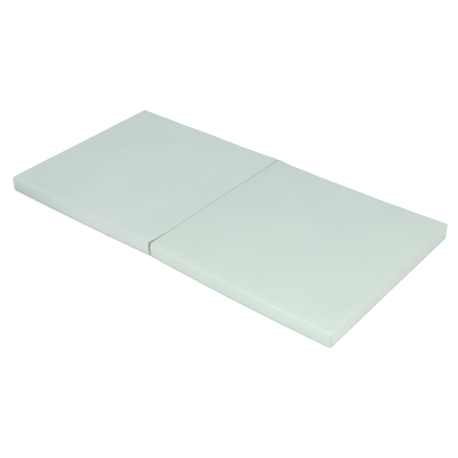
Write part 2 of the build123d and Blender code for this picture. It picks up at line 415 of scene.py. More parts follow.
def swell_limits(points, outward):
    """How far each point of the skin may move outward, by the way that it faces."""
    facing = outward**2
    up, down = facing[:, 2] * (outward[:, 2] > 0), facing[:, 2] * (outward[:, 2] <= 0)
    limits = up * SWELL["top"] * from_fold(points[:, 0]) + down * SWELL["under"]
    between_seams = np.sin(math.pi * np.clip(points[:, 2] / points[:, 2].max(), 0, 1))
    for axis, ahead, behind in ((0, "end", "fold"), (1, "back", "front")):
        most = np.where(outward[:, axis] > 0, SWELL[ahead], SWELL[behind])
        limits += facing[:, axis] * most * between_seams
    return np.maximum(limits, LEAST_SWELL)


def edge_distances(points, length, width):
    """Distance of each point from the end, front and back edges."""
    return length - points[:, 0], points[:, 1], width - points[:, 1]


def seam_gap(points, height):
    """How far above or below the nearer of the two seams each point is."""
    to_top_seam = np.abs(points[:, 2] - (height - SEAM_BELOW_TOP))
    return np.minimum(to_top_seam, np.abs(points[:, 2] - SEAM_ABOVE_FLOOR))


def cloth_swell(piece, outward):
    """How far each point of the closed skin moves outward when it is blown up as cloth."""
    before = coordinates(piece.data)
    cloth = piece.modifiers.new("cloth", "CLOTH").settings
    cloth.quality = 4
    cloth.mass = 0.25
    cloth.tension_stiffness = 20
    cloth.compression_stiffness = 20
    cloth.shear_stiffness = 8
    cloth.bending_stiffness = 0.6
    cloth.use_pressure = True
    cloth.uniform_pressure_force = 5
    cloth.effector_weights.gravity = 0
    piece.modifiers["cloth"].point_cache.frame_end = CLOTH_FRAMES
    scene = bpy.context.scene
    for step in range(1, CLOTH_FRAMES + 1):
        scene.frame_set(step)
    apply_modifiers(piece)
    scene.frame_set(1)
    return ((coordinates(piece.data) - before) * outward).sum(1)


def bow(panel, points, length, width, height):
    """Long, slight bows of the front and back edges, and the soft corners beside the fold."""
    end, front, back = edge_distances(points, length, width)
    inside_fold, inside_front = np.maximum(points[:, 0], 0), np.maximum(front, 0)
    inside_back = np.maximum(back, 0)
    share, level = np.clip(points[:, 0] / length, 0, 1), points[:, 2] / height
    middle = 4 * share * (1 - share)
    upper = rising(level, *UPPER_BAND)
    off_floor = np.clip(level * 4, 0, 1)
    moved = points.copy()
    along, across, z = moved.T

    at_ends = FRONT_AT_FOLD * (1 - share) + FRONT_AT_END[panel] * share
    across -= (FRONT_BOW[panel] * middle + at_ends) * fading(front, REACH["front_bow"])
    lip = fading(back, REACH["back_bow"]) * upper
    across += (BACK_OUT[panel] - BACK_BOW[panel] * middle) * lip
    z -= BACK_DIP[panel] * middle * lip
    z -= FRONT_DROP * fading(inside_front, REACH["front_drop"]) * from_fold(points[:, 0]) * level

    rearward = np.clip(points[:, 1] / width, 0, 1) ** 1.5
    along += END_OUT[panel] * fading(end, REACH["end_out"])
    along += END_SKEW[panel] * rearward * fading(end, REACH["end_skew"])

    near_fold = fading(inside_fold, REACH["fold_wall"])
    arch = np.sin(math.pi * np.clip(level, 0, 1)) ** 0.5
    shift = FOLD_SHIFT[panel] * fading(inside_front, REACH["fold_shift"]) * arch
    part = FRONT_PART[panel] * fading(inside_front, REACH["front_part"])
    part += BACK_PART[panel] * fading(inside_back, REACH["back_part"])
    along += near_fold * (part * off_floor - shift)
    across += BACK_EAR[panel] * fading(inside_fold + inside_back, REACH["back_ear"]) * upper
    return moved


def puckers(panel, points, length, width, height):
    """How far the skin stands in or out of its own line, beside the seams and over the top."""
    seed = PUCKER_SEED[panel]
    end, front, back = edge_distances(points, length, width)
    gap = seam_gap(points, height)
    out = np.zeros(len(points))
    for offset, distance, axis in ((0, front, 0), (1, back, 0), (2, end, 1)):
        run = points[:, axis]
        patches = ripple(run, waves(seed + PATCH_SEED + offset, *PATCH_WAVES))
        strength = PUCKER * fading(distance + gap, PUCKER_REACH)
        strength *= 1 - PATCHINESS + PATCHINESS * patches
        out += strength * ripple(run, waves(seed + offset, *PUCKER_WAVES))
    on_top = rising(points[:, 2] / height, *ROLLING_BAND) * from_fold(points[:, 0])
    for offset, turn in enumerate(ROLLING_TURNS, ROLLING_SEED):
        run = points[:, 0] * math.cos(turn) + points[:, 1] * math.sin(turn)
        out += 0.5 * ROLLING * on_top * (ripple(run, waves(seed + offset, *ROLLING_WAVES)) - 1)
    return out


def painted_rim_light(panel, points, length, width, height):
    """How much painted light each point gets, where the rims face the lamp: most at the front and
    foot edges, least at the head's end.
    """
    end, front, _ = (np.maximum(d, 0) for d in edge_distances(points, length, width))
    level = np.clip(points[:, 2] / height, 0, 1)
    rim_light = fading(front, RIM_LIGHT_REACH)
    if panel == "head":
        rim_light *= 1 - np.clip(points[:, 0] / length, 0, 1)
    else:
        rim_light = np.maximum(rim_light, END_RIM_LIGHT * fading(end, RIM_LIGHT_REACH))
    return rim_light * (RIM_LIGHT_AT_FLOOR + (1 - RIM_LIGHT_AT_FLOOR) * level**2)


def painted_shade_amount(panel, points, length, width, height):
    """Painted shade: darker at the foot of the walls, along the head's front, in the upright
    corners, and on the foot's top beside the fold.
    """
    end, front, back = (np.maximum(d, 0) for d in edge_distances(points, length, width))
    level = np.clip(points[:, 2] / height, 0, 1)
    beside_fold = 0.0
    if panel == "head":
        on_front = PAINTED_SHADE_STRENGTH["head_front"] * np.exp(-((end / PAINTED_SHADE_REACH["head_front"]) ** 2))
        on_end = PAINTED_SHADE_STRENGTH["head_end"]
    else:
        on_front = PAINTED_SHADE_STRENGTH["foot_walls"] + PAINTED_SHADE_STRENGTH["foot_front"] * (1 - end / length)
        on_end = PAINTED_SHADE_STRENGTH["foot_walls"] + PAINTED_SHADE_STRENGTH["foot_end"] * front / width
        rearward = PAINTED_SHADE_AT_FRONT + (1 - PAINTED_SHADE_AT_FRONT) * np.clip(points[:, 1] / width, 0, 1)
        beside_fold = PAINTED_SHADE_STRENGTH["beside_fold"] * fading(points[:, 0], PAINTED_SHADE_REACH["beside_fold"])
        beside_fold *= rising(level, *FOLD_SHADE_BAND) * rearward
    frontal = end / (front + end + MM)
    low = (frontal * on_front + (1 - frontal) * on_end) * (1 - level**2)
    from_corner = np.abs(np.maximum(np.minimum(front, back), end) - CORNER_BEND)
    corners = PAINTED_SHADE_STRENGTH["corners"] * fading(from_corner, PAINTED_SHADE_REACH["corners"])
    corners *= 1 - rising(level, *ABOVE_CORNER_BAND)
    return low + beside_fold + corners


def lit_and_greyed(panel, points):
    """How much lighter and greyer the cover is: most across the middle of the head. The lightness is
    painted light where the head's top faces the lamp; the greyness is a tone of the cloth.
    """
    if panel == "foot":
        return np.zeros(len(points))
    return np.exp(-(((points[:, 0] - LIT_AND_GREYED_AT) / LIT_AND_GREYED_REACH) ** 2))


def mark_wear_and_painted_light(piece, panel, points, length, width, height):
    """Stores where the cover gets painted light and painted shade, and where it is dusty, rubbed or
    greyed, for its material.
    """
    inside = np.maximum(np.minimum.reduce(edge_distances(points, length, width)), 0)
    inside_fold = np.maximum(points[:, 0], 0)
    to_top = height - points[:, 2]
    # painted shade at the top of the fold groove
    fold_groove_shade = fading(inside_fold, FOLD_GROOVE_SHADE_REACH) * (to_top < FOLD_GROOVE_SHADE_DEPTH)
    gap_end = np.minimum(np.maximum(points[:, 1], 0), np.maximum(width - points[:, 1], 0))
    gap_shade_near_wall = fading(np.maximum(points[:, 0] - GAP_FROM, 0), GAP_REACH)
    # rubbed rims: a little shinier with wear, and painted shade that darkens the light they catch
    rubbed_and_shaded = fading(np.abs(inside - RUB_AND_SHADE_AT), RUB_AND_SHADE_REACH) * fading(to_top, RUB_AND_SHADE_DEPTH)
    layers = {
        # dust along the seams, with painted shade in their creases and at the top of the fold groove
        "seam": np.maximum(fading(inside + seam_gap(points, height), SEAM_DARKENING_REACH), fold_groove_shade),
        # rubbed rims, with painted shade over them
        "edge": rubbed_and_shaded,
        # painted shade in the gap: darker on the fold walls, most near both ends of the fold
        "gap": gap_shade_near_wall * fading(gap_end, GAP_END_REACH),
        # painted light along the front and end rims
        "painted_rim_light": painted_rim_light(panel, points, length, width, height),
        # painted shade at the foot of the walls, in the upright corners and beside the fold
        "painted_shade": painted_shade_amount(panel, points, length, width, height),
        # painted light across the middle of the head, with a greyer tone
        "lit_and_greyed": lit_and_greyed(panel, points),
    }
    for name, values in layers.items():
        layer = piece.data.attributes.new(name, "FLOAT", "POINT")
        layer.data.foreach_set("value", values.astype(np.float32))


def place_panel(panel, piece, points):
    """Gives the piece these points, moved from the panel's frame to the CAD's."""
    side, near, _, width, _ = panel_size(panel)
    points[:, 0] = side * (near + points[:, 0])
    points[:, 1] -= width / 2
    set_coordinates(piece.data, points)
    if side < 0:
        piece.data.flip_normals()


def build_skin(panel):
    """The panel's swollen, puckered skin, one closed mesh whose materials are its regions."""
    _, _, length, width, height = panel_size(panel)
    points, faces, regions = skin(panel)
    points = crowned(points, height)
    piece = face_outward(new_object(f"{panel}_skin", points, faces))
    for region in REGIONS:
        piece.data.materials.append(bpy.data.materials.new(f"{panel}_{region}_tag"))
    piece.data.polygons.foreach_set("material_index", [REGIONS.index(r) for r in regions])
    outward = normals(piece.data)
    swollen = cloth_swell(piece, outward)
    limits = swell_limits(points, outward)
    held = limits * np.tanh(np.maximum(swollen, 0) / limits)
    set_coordinates(piece.data, points + outward * held[:, None])
    finer = piece.modifiers.new("finer", "SUBSURF")
    finer.levels = 1
    finer.render_levels = 1
    apply_modifiers(piece)
    points = coordinates(piece.data)
    mark_wear_and_painted_light(piece, panel, points, length, width, height)
    points += normals(piece.data) * puckers(panel, points, length, width, height)[:, None]
    points = bow(panel, points, length, width, height)
    points[:, 2] = np.clip(points[:, 2], 0.0, height)
    place_panel(panel, piece, points)
    return piece


def cut_piece(skin_piece, name, region):
    """One sewn piece of the skin: its edges turn in to a narrow hem, and it gets its thickness."""
    made = bmesh.new()
    made.from_mesh(skin_piece.data)
    wanted = REGIONS.index(region)
    made.normal_update()
    for vertex in made.verts:
        if len({f.material_index for f in vertex.link_faces}) > 1:
            vertex.co -= vertex.normal * CREASE
    others = [f for f in made.faces if f.material_index != wanted]
    bmesh.ops.delete(made, geom=others, context="FACES")
    made.normal_update()
    edges = [e for e in made.edges if e.is_boundary]
    edge_vertices = {v for e in edges for v in e.verts}
    inward = {}
    for vertex in edge_vertices:
        inner = [e.other_vert(vertex) for e in vertex.link_edges]
        inner = [o for o in inner if o not in edge_vertices] or inner
        toward = sum((o.co - vertex.co for o in inner), Vector()).normalized()
        inward[vertex] = (vertex.normal.copy(), toward)
    for depth, slide in HEM_STEPS:
        grown = bmesh.ops.extrude_edge_only(made, edges=edges)["geom"]
        edges = [g for g in grown if isinstance(g, bmesh.types.BMEdge)]
        turned = {}
        for vertex in (g for g in grown if isinstance(g, bmesh.types.BMVert)):
            others = (e.other_vert(vertex) for e in vertex.link_edges)
            old = next(o for o in others if o in inward)
            normal, toward = turned[vertex] = inward[old]
            vertex.co = old.co - normal * depth + toward * slide
        inward = turned
    for face in made.faces:
        face.material_index = 0
    bmesh.ops.recalc_face_normals(made, faces=made.faces)
    mesh = bpy.data.meshes.new(name)
    made.to_mesh(mesh)
    made.free()
    piece = bpy.data.objects.new(name, mesh)
    bpy.context.scene.collection.objects.link(piece)
    thicken(piece, CLOTH_THICKNESS, -1)
    return piece


COVER_PIECES = {
    "top": "top_cover",
    "under": "underside_cover",
    "front": "front_wall",
    "end": "end_wall",
    "inner": "inner_wall",
    "back_upper": "back_wall_upper",
    "back_lower": "back_wall_lower",
}


def build_covers(panel, material):
    skin_piece = build_skin(panel)
    for region, replaced in COVER_PIECES.items():
        piece = cut_piece(skin_piece, f"{panel}_{region}_sheet", region)
        piece.data.materials.clear()
        piece.data.materials.append(material)
        smooth(piece)
        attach(piece, f"{panel}_panel")
        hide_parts(f"{panel}_{replaced}")
    bpy.data.objects.remove(skin_piece)


# ------------ foam, zips and the hinge strip


def build_foam(panel, material):
    _, _, length, width, height = panel_size(panel)
    points, faces, _ = skin(panel)
    piece = face_outward(new_object(f"{panel}_foam", points, faces))
    points = crowned(points - normals(piece.data) * FOAM_INSET, height)
    place_panel(panel, piece, bow(panel, points, length, width, height))
    piece.data.materials.append(material)
    smooth(piece)
    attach(piece, f"{panel}_panel")
    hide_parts(f"{panel}_foam_core")


def ribbon(name, rows, columns, place, thickness):
    """A closed strip of cloth: place(run, across) is its middle, at shares of its two sides."""
    points = [place(i / (rows - 1), j / (columns - 1)) for i in range(rows) for j in range(columns)]
    corners = [i * columns + j for i in range(rows - 1) for j in range(columns - 1)]
    faces = [(a, a + columns, a + columns + 1, a + 1) for a in corners]
    piece = new_object(name, points, faces)
    thicken(piece, thickness, 0)
    return smooth(face_outward(piece))


TAPE_THICKNESS = 0.45 * MM
TAPE_GRID = (370, 8)
TAPE_LIFT = 0.04 * MM  # how far it waves in and out
TAPE_SEED = {"upper": 61, "lower": 62}
TAPE_WAVES = (18 * MM, 70 * MM, 5)


def build_tape(panel, half, material):
    """A zip tape: a flat woven ribbon that waves very slightly."""
    replaced = f"{panel}_zip_tape_{half}"
    low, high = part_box(replaced)
    kinds = waves(TAPE_SEED[half], *TAPE_WAVES)

    def place(run, across):
        x = low.x + (high.x - low.x) * run
        z = low.z + (high.z - low.z) * across
        lift = TAPE_LIFT * float(ripple(np.array([x]), kinds)[0])
        return x, (low.y + high.y) / 2 + lift, z

    piece = ribbon(f"{replaced}_cloth", *TAPE_GRID, place, TAPE_THICKNESS)
    piece.data.materials.append(material)
    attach(piece, f"{panel}_panel")
    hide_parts(replaced)


def tube(path, radius, sides):
    """Vertices and faces of a tube along a path of points, with flat ends."""
    path = np.asarray(path)
    tangents = np.gradient(path, axis=0)
    tangents /= np.linalg.norm(tangents, axis=1)[:, None]
    helper = np.tile([1.0, 0.0, 0.0], (len(path), 1))
    helper[np.abs(tangents[:, 0]) > 0.9] = [0.0, 0.0, 1.0]
    first = np.cross(tangents, helper)
    first /= np.linalg.norm(first, axis=1)[:, None]
    second = np.cross(tangents, first)
    turns = np.linspace(0, 2 * math.pi, sides, endpoint=False)
    one_way = np.cos(turns)[None, :, None] * first[:, None]
    other_way = np.sin(turns)[None, :, None] * second[:, None]
    rings = path[:, None] + radius * (one_way + other_way)
    faces = []
    for start in range(0, (len(path) - 1) * sides, sides):
        for j in range(sides):
            k = (j + 1) % sides
            faces.append((start + j, start + k, start + sides + k, start + sides + j))
    faces.append(tuple(range(sides - 1, -1, -1)))
    faces.append(tuple((len(path) - 1) * sides + j for j in range(sides)))
    return rings.reshape(-1, 3), faces


COIL_PITCH = 1.32 * MM
COIL_RADIUS = 0.27 * MM  # of the wire
COIL_STEPS = 12  # points on a turn
COIL_SIDES = 6
COIL_OVERLAP = 0.75 * MM
COIL_SLANT = 0.12  # of the pitch
COIL_WIDE_POWER, COIL_DEEP_POWER = 0.7, 0.8  # below 1, a turn is squarer than an ellipse


def squared(wave, power):
    return np.sign(wave) * np.abs(wave) ** power


def build_coil(panel, half, material):
    """One side of the zip's nylon coil: a flattened helix whose turns lie between the other's."""
    replaced = f"{panel}_zip_coil_{half}"
    low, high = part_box(replaced)
    bottom = low.z - (COIL_OVERLAP if half == "upper" else 0)
    top = high.z + (COIL_OVERLAP if half == "lower" else 0)
    turns = int((high.x - low.x) / COIL_PITCH) - 1
    shift = 0.5 if half == "upper" else 0.0
    steps = np.arange(turns * COIL_STEPS + 1) / COIL_STEPS
    angle = 2 * math.pi * steps
    wide, deep = (top - bottom) / 2 - COIL_RADIUS, (high.y - low.y) / 2 - COIL_RADIUS
    slant = COIL_SLANT * COIL_PITCH * np.sin(2 * angle)
    x = low.x + COIL_RADIUS + (steps + shift) * COIL_PITCH + slant
    y = (low.y + high.y) / 2 + deep * squared(np.sin(angle), COIL_DEEP_POWER)
    z = (bottom + top) / 2 + wide * squared(np.cos(angle), COIL_WIDE_POWER)
    points, faces = tube(np.stack([x, y, z], axis=1), COIL_RADIUS, COIL_SIDES)
    piece = smooth(new_object(f"{replaced}_turns", points, faces))
    piece.data.materials.append(material)
    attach(piece, f"{panel}_panel")
    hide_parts(replaced)


STITCH_PITCH = 3.1 * MM
STITCH_LENGTH = 2.3 * MM
STITCH_RADIUS = 0.24 * MM
STITCH_FROM_SLOT = 2.4 * MM
STITCH_TILT = 0.06 * MM
STITCH_BULGE = 0.75  # of the radius, at the middle
STITCH_SUNK = 0.12 * MM  # at the ends
STITCH_POINTS, STITCH_SIDES = 6, 7
STITCH_SEED = {"upper": 7, "lower": 8}
SEARCH_FROM = 50 * MM  # how far out of the wall the search for its surface starts


def build_stitches(panel, half, material):
    """The row of lockstitch that holds the zip tape behind the edge of the cover."""
    cover = bpy.data.objects[f"{panel}_back_{half}_sheet"]
    low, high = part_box(f"{panel}_zip_tape_{half}")
    level = (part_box(f"{panel}_zip_coil_upper")[0].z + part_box(f"{panel}_zip_coil_lower")[1].z) / 2
    level += (SLOT_HALF + STITCH_FROM_SLOT) * (1 if half == "upper" else -1)
    points, faces = [], []
    rng = np.random.default_rng(STITCH_SEED[half])
    share = np.linspace(0, 1, STITCH_POINTS)
    proud = np.sin(math.pi * share) * STITCH_RADIUS * STITCH_BULGE - STITCH_SUNK
    for k in range(int((high.x - low.x) / STITCH_PITCH)):
        start = low.x + k * STITCH_PITCH
        tilt = rng.normal(0, STITCH_TILT)
        outside = Vector((start + STITCH_LENGTH / 2, high.y + SEARCH_FROM, level))
        found, spot, _, _ = cover.ray_cast(outside, Vector((0, -1, 0)))
        if not found:
            continue
        x, z = start + STITCH_LENGTH * share, level + tilt * (share - 0.5) * 2
        path = np.stack([x, spot.y + proud, z], axis=1)
        ring_points, ring_faces = tube(path, STITCH_RADIUS, STITCH_SIDES)
        base = len(points)
        points.extend(ring_points)
        faces.extend(tuple(base + i for i in face) for face in ring_faces)
    piece = smooth(new_object(f"{panel}_stitches_{half}", points, faces))
    piece.data.materials.append(material)
    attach(piece, f"{panel}_panel")


STRIP_WIDTH = 11.0 * MM
STRIP_THICKNESS = 0.38 * MM
STRIP_GRID = (240, 25)
STRIP_TURN = 1.2 * MM  # half of the part of the strip that bends
STRIP_SAG = 0.25 * MM
STRIP_SET_BACK = 12.0 * MM  # it stops short of the drawn-in front corners


def build_hinge_strip(material):
    """The tape sewn into both top seams, which the panels fold about."""
    low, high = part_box("hinge_strip")
    low.y += STRIP_SET_BACK
    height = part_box("head_top_cover")[1].z - FOLD_SEAM_BELOW_TOP

    def place(run, across):
        side = 2 * across - 1
        x = STRIP_WIDTH * (0.5 * side + 0.5 * side**3) / 2  # its lines crowd to the middle
        sag = STRIP_SAG * max(0.0, 1 - abs(x) / STRIP_TURN)
        return x, low.y + (high.y - low.y) * run, height - sag

    piece = ribbon("hinge_strip_cloth", *STRIP_GRID, place, STRIP_THICKNESS)
    piece.data.materials.append(material)
    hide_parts("hinge_strip")
    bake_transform(piece)


# ------------ materials


def node(tree, kind, inputs=None, **settings):
    """Adds a shader node; an input is a value, or a socket to link from."""
    made = tree.nodes.new(f"ShaderNode{kind}")
    for name, value in settings.items():
        setattr(made, name, value)
    for key, value in (inputs or {}).items():
        connect(tree, made.inputs[key], value)
    return made


def connect(tree, socket, value):
    if isinstance(value, bpy.types.NodeSocket):
        tree.links.new(value, socket)
    else:
        socket.default_value = value


def maths(tree, operation, a, b=0.0):
    return node(tree, "Math", {0: a, 1: b}, operation=operation).outputs[0]


def times(tree, a, b):
    return maths(tree, "MULTIPLY", a, b)


def plus(tree, a, b):
    return maths(tree, "ADD", a, b)


def noise(tree, place, size, detail=3.0, roughness=0.55):
    """Noise whose blotches are about this size in metres, from 0 to 1."""
    inputs = {"Vector": place, "Scale": 1 / size, "Detail": detail, "Roughness": roughness}
    return node(tree, "TexNoise", inputs).outputs["Fac"]


def mix(tree, factor, first, second, kind="MIX"):
    made = node(tree, "Mix", data_type="RGBA", blend_type=kind)
    for key, value in (("Factor", factor), ("A", first), ("B", second)):
        type_name = "VALUE" if key == "Factor" else "RGBA"
        fitting = (s for s in made.inputs if s.name == key and s.type == type_name)
        connect(tree, next(fitting), value)
    return next(s for s in made.outputs if s.type == "RGBA")


def mix_values(tree, factor, first, second):
    inputs = {"Factor": factor, "A": first, "B": second}
    return node(tree, "Mix", inputs, data_type="FLOAT").outputs[0]


def spread(tree, value, low, high, to_low=0.0, to_high=1.0):
    """Maps a value from low..high to to_low..to_high, held at both ends."""
    inputs = {"Value": value, "From Min": low, "From Max": high}
    return node(tree, "MapRange", inputs | {"To Min": to_low, "To Max": to_high}).outputs["Result"]


def two_tone(tree, value, tones, low=0.35, high=0.65):
    return mix(tree, spread(tree, value, low, high), *tones)


def bump(tree, height, distance, strength=1.0, below=None):
    inputs = {"Height": height, "Distance": distance, "Strength": strength}
    if below is not None:
        inputs["Normal"] = below
    return node(tree, "Bump", inputs).outputs["Normal"]


def attribute(tree, name):
    return node(tree, "Attribute", attribute_name=name).outputs["Fac"]


def axes(tree, vector):
    split = node(tree, "SeparateXYZ", {0: vector})
    return [split.outputs[i] for i in range(3)]


def ribs(tree, length, pitch):
    """0 between ribs of this pitch, and 1 on them."""
    return spread(tree, maths(tree, "SINE", times(tree, length, 2 * math.pi / pitch)), -1, 1)


def woven(tree, first, second, pitch):
    """Height of a plain weave from two lengths along the cloth: threads go over and under."""
    warp, weft = (maths(tree, "SINE", times(tree, a, math.pi / pitch)) for a in (first, second))
    over = spread(tree, times(tree, warp, weft), -0.25, 0.25)
    first_part = times(tree, maths(tree, "ABSOLUTE", warp), over)
    under = maths(tree, "SUBTRACT", 1.0, over)
    return plus(tree, first_part, times(tree, maths(tree, "ABSOLUTE", weft), under))


def on_three_faces(tree, pattern):
    """A pattern laid on each of the three main directions, chosen by the way the cloth faces."""
    place = node(tree, "TexCoord")
    x, y, z = axes(tree, place.outputs["Object"])
    _, *facing = axes(tree, place.outputs["Normal"])
    to_y, to_z = (spread(tree, maths(tree, "ABSOLUTE", f), 0.6, 0.8) for f in facing)
    sides = mix_values(tree, to_y, pattern(y, z), pattern(x, z))
    return mix_values(tree, to_z, sides, pattern(x, y))


def new_material(name):
    material = bpy.data.materials.new(name)
    material.use_nodes = True
    tree = material.node_tree
    place = node(tree, "TexCoord").outputs["Object"]
    return material, tree, place


def plug(material, **values):
    """Sets the shader's sockets: a value, or a socket to link from."""
    tree = material.node_tree
    for name, value in values.items():
        connect(tree, tree.nodes["Principled BSDF"].inputs[name.replace("_", " ")], value)
    return material


# Colours: pairs are the two tones of a cloth or paint that is never quite even
COVER_TONES = (0.410, 0.495, 0.472, 1), (0.432, 0.517, 0.492, 1)
# the darker colour that seam dust and all painted shade on the covers go towards
COVER_DUST_AND_SHADE = (0.290, 0.345, 0.335, 1)
# painted light along the rims that face the lamp
COVER_RIM_LIGHT = (0.600, 0.585, 0.575, 1)
# rubbed rims, painted darker to tone down their highlight
COVER_RUBBED_AND_SHADED = (0.420, 0.455, 0.445, 1)
# lighter and greyer: painted light, with a greyer tone of the cloth
COVER_LIT_AND_GREYED = (0.488, 0.512, 0.571, 1)
# painted shade in the gap between the panels
GAP_PAINTED_SHADE = (0.150, 0.175, 0.160, 1)
FOAM_TONES = (0.80, 0.70, 0.48, 1), (0.84, 0.77, 0.58, 1)
# painted shade in the foam's pores
FOAM_PORE_SHADE = (0.46, 0.37, 0.20, 1)
TAPE_TONES = (0.40, 0.46, 0.43, 1), (0.45, 0.51, 0.48, 1)
# painted shade in the tape's grooves
TAPE_GROOVE_SHADE = (0.24, 0.28, 0.26, 1)
STRIP_TONES = (0.17, 0.20, 0.185, 1), (0.21, 0.24, 0.222, 1)
# painted shade in the strip's grooves
STRIP_GROOVE_SHADE = (0.10, 0.12, 0.11, 1)
COIL_TONES = (0.46, 0.52, 0.49, 1), (0.56, 0.61, 0.58, 1)
PAINT_TONES = (0.38, 0.42, 0.40, 1), (0.44, 0.48, 0.46, 1)
BARE_METAL = (0.62, 0.60, 0.57, 1)
THREAD_TONES = (0.48, 0.54, 0.51, 1), (0.56, 0.61, 0.58, 1)
# painted shade in the thread's grooves
THREAD_GROOVE_SHADE = (0.28, 0.32, 0.30, 1)
FLOOR_TONES = (0.955, 0.955, 0.955, 1), (0.97, 0.97, 0.97, 1)

KNIT_PITCH = 0.85 * MM
TAPE_RIB, TAPE_ZIGZAG = 0.7 * MM, 1.6 * MM
STRIP_RIB = 0.8 * MM
THREAD_TWIST = 0.42 * MM


def cover_material():
    """A coated knit: fine yarns under a thin film, faintly blotchy, dusty and rubbed, with painted
    light and painted shade in its colour.
    """
    material, tree, place = new_material("coated_knit_cover")
    blotches = noise(tree, place, 160 * MM)
    patches = noise(tree, place, 35 * MM, 4)
    yarns = on_three_faces(tree, lambda a, b: woven(tree, a, b, KNIT_PITCH))
    tone = plus(tree, times(tree, blotches, 0.7), times(tree, patches, 0.3))
    colour = two_tone(tree, tone, COVER_TONES, 0.36, 0.64)
    # painted shade between the yarns: the knit's low places are darker
    yarn_gap_shade = spread(tree, yarns, 0.0, 0.55, 0.90, 1.0)
    shade = node(tree, "CombineColor", {0: yarn_gap_shade, 1: yarn_gap_shade, 2: yarn_gap_shade}).outputs[0]
    colour = mix(tree, 1.0, colour, shade, "MULTIPLY")
    # painted light along the front and end rims
    colour = mix(tree, times(tree, attribute(tree, "painted_rim_light"), 0.14), colour, COVER_RIM_LIGHT)
    # painted light across the middle of the head, with a greyer tone
    colour = mix(tree, times(tree, attribute(tree, "lit_and_greyed"), 0.2), colour, COVER_LIT_AND_GREYED)
    # dust on the seams, with painted shade in their creases and the fold groove
    seam_dust_and_shade = times(tree, attribute(tree, "seam"), spread(tree, patches, 0.3, 0.7, 0.02, 0.12))
    # painted shade at the foot of the walls, in the upright corners and beside the fold, a little
    # patchy
    painted_shade = times(tree, attribute(tree, "painted_shade"), spread(tree, patches, 0.3, 0.7, 0.8, 1.2))
    colour = mix(tree, plus(tree, seam_dust_and_shade, painted_shade), colour, COVER_DUST_AND_SHADE)
    # painted shade in the gap between the panels
    colour = mix(tree, times(tree, attribute(tree, "gap"), 0.4), colour, GAP_PAINTED_SHADE)
    # rubbed rims: painted shade in their colour, and less rough with wear
    rub_and_shade_patches = spread(tree, noise(tree, place, 12 * MM, 4), 0.45, 0.7, 0.0, 0.35)
    rubbed_and_shaded = times(tree, attribute(tree, "edge"), rub_and_shade_patches)
    colour = mix(tree, rubbed_and_shaded, colour, COVER_RUBBED_AND_SHADED)
    rough = spread(tree, patches, 0.3, 0.7, 0.50, 0.60)
    creases = bump(tree, noise(tree, place, 30 * MM, 5, 0.6), 0.35 * MM, 0.5)
    film = bump(tree, noise(tree, place, 1.6 * MM, 2), 0.05 * MM, 0.6, creases)
    return plug(
        material,
        Base_Color=colour,
        Roughness=maths(tree, "SUBTRACT", rough, times(tree, rubbed_and_shaded, 0.25)),
        Normal=bump(tree, yarns, 0.07 * MM, 0.8, film),
        Sheen_Weight=0.15,
        Sheen_Roughness=0.4,
        Coat_Weight=0.06,
        Coat_Roughness=0.35,
        Specular_IOR_Level=0.35,
    )


def foam_material():
    """Cream polyurethane foam with open cells."""
    material, tree, place = new_material("open_cell_foam")
    cells = node(tree, "TexVoronoi", {"Vector": place, "Scale": 700}).outputs["Distance"]
    pores = node(tree, "TexVoronoi", {"Vector": place, "Scale": 230}).outputs["Distance"]
    colour = two_tone(tree, noise(tree, place, 50 * MM), FOAM_TONES)
    return plug(
        material,
        # painted shade in the pores of the foam
        Base_Color=mix(tree, spread(tree, cells, 0.0, 0.5, 0.45, 0.0), colour, FOAM_PORE_SHADE),
        Roughness=spread(tree, cells, 0, 0.6, 0.98, 0.85),
        Normal=bump(tree, cells, 0.5 * MM, 0.9, bump(tree, pores, 0.9 * MM, 0.5)),
    )


def tape_material():
    """Woven polyester tape with a herringbone rib."""
    material, tree, place = new_material("woven_zip_tape")
    x, y, z = axes(tree, place)
    zigzag = maths(tree, "PINGPONG", plus(tree, z, times(tree, y, 0.31)), TAPE_ZIGZAG)
    threads = ribs(tree, plus(tree, x, zigzag), TAPE_RIB)
    fuzz = noise(tree, place, 0.9 * MM)
    colour = two_tone(tree, noise(tree, place, 20 * MM), TAPE_TONES)
    return plug(
        material,
        # painted shade in the grooves between the ribs
        Base_Color=mix(tree, spread(tree, threads, 0, 0.5, 0.35, 0.0), colour, TAPE_GROOVE_SHADE),
        Roughness=spread(tree, fuzz, 0.3, 0.7, 0.72, 0.88),
        Normal=bump(tree, threads, 0.12 * MM, 0.9, bump(tree, fuzz, 0.06 * MM, 0.6)),
        Sheen_Weight=0.3,
        Sheen_Roughness=0.5,
    )


def strip_material():
    """Grey grosgrain: cross ribs, darker than the covers."""
    material, tree, place = new_material("grosgrain_hinge_tape")
    cords = ribs(tree, axes(tree, place)[1], STRIP_RIB)
    fuzz = noise(tree, place, 0.8 * MM)
    colour = two_tone(tree, noise(tree, place, 30 * MM), STRIP_TONES)
    return plug(
        material,
        # painted shade in the grooves between the cords
        Base_Color=mix(tree, spread(tree, cords, 0, 0.5, 0.4, 0.0), colour, STRIP_GROOVE_SHADE),
        Roughness=spread(tree, fuzz, 0.3, 0.7, 0.75, 0.9),
        Normal=bump(tree, cords, 0.12 * MM, 0.9, bump(tree, fuzz, 0.05 * MM, 0.6)),
        Sheen_Weight=0.2,
    )


def coil_material():
    """Nylon monofilament: smooth, a little cloudy."""
    material, tree, place = new_material("nylon_coil")
    cloud = noise(tree, place, 4 * MM)
    return plug(
        material,
        Base_Color=two_tone(tree, cloud, COIL_TONES),
        Roughness=spread(tree, cloud, 0.3, 0.7, 0.28, 0.40),
        Normal=bump(tree, noise(tree, place, 0.7 * MM, 2), 0.02 * MM, 0.5),
        Subsurface_Weight=0.08,
        Subsurface_Scale=0.001,
    )


